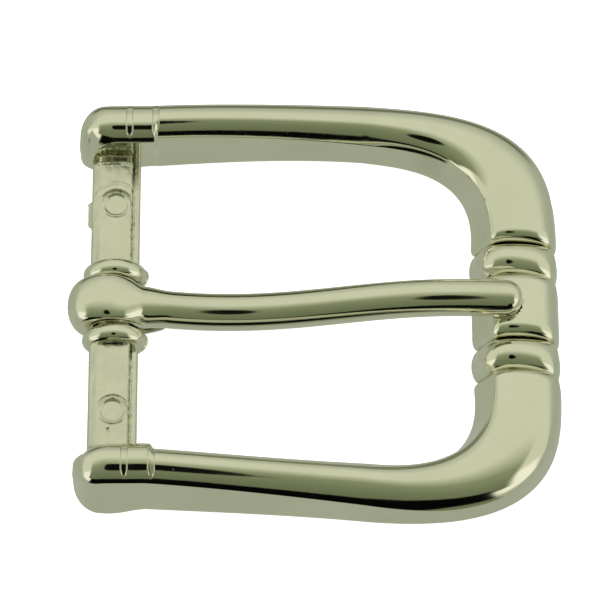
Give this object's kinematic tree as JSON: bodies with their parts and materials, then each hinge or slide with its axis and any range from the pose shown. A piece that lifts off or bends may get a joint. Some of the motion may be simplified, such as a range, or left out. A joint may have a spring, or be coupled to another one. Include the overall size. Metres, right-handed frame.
{
  "type": "belt buckle",
  "caption": "Heel-bar belt buckle: a cast, arched D-section frame with beaded front bar and elbows, and a prong that swings on the heel bar.",
  "frame": {"origin": "under the middle of the buckle, on the surface it lies on", "axes": "+X from the heel bar to the front bar, along the belt; +Y across the belt, along the heel bar; +Z out of the front face"},
  "size_m": [0.0533, 0.0492, 0.0091],
  "materials": {
    "bright_nickel": "bright nickel plate over polished zinc casting",
    "as_cast_nickel": "nickel plate over an unpolished casting, satin",
    "prong_nickel": "bright nickel plate"
  },
  "bodies": {
    "frame": {"heel_bar": "as_cast_nickel", "upper_collar": "bright_nickel", "lower_collar": "bright_nickel", "upper_arm": "bright_nickel", "lower_arm": "bright_nickel", "upper_bead": "bright_nickel", "lower_bead": "bright_nickel", "tip_rest": "bright_nickel"},
    "prong": {"prong": "prong_nickel"}
  },
  "joints": [
    {"name": "prong_swing", "type": "hinge", "parent": "frame", "child": "prong", "pos_m": [-0.02175, 0, 0.0032], "axis": [0, -1, 0], "range_deg": [0, 178]}
  ]
}
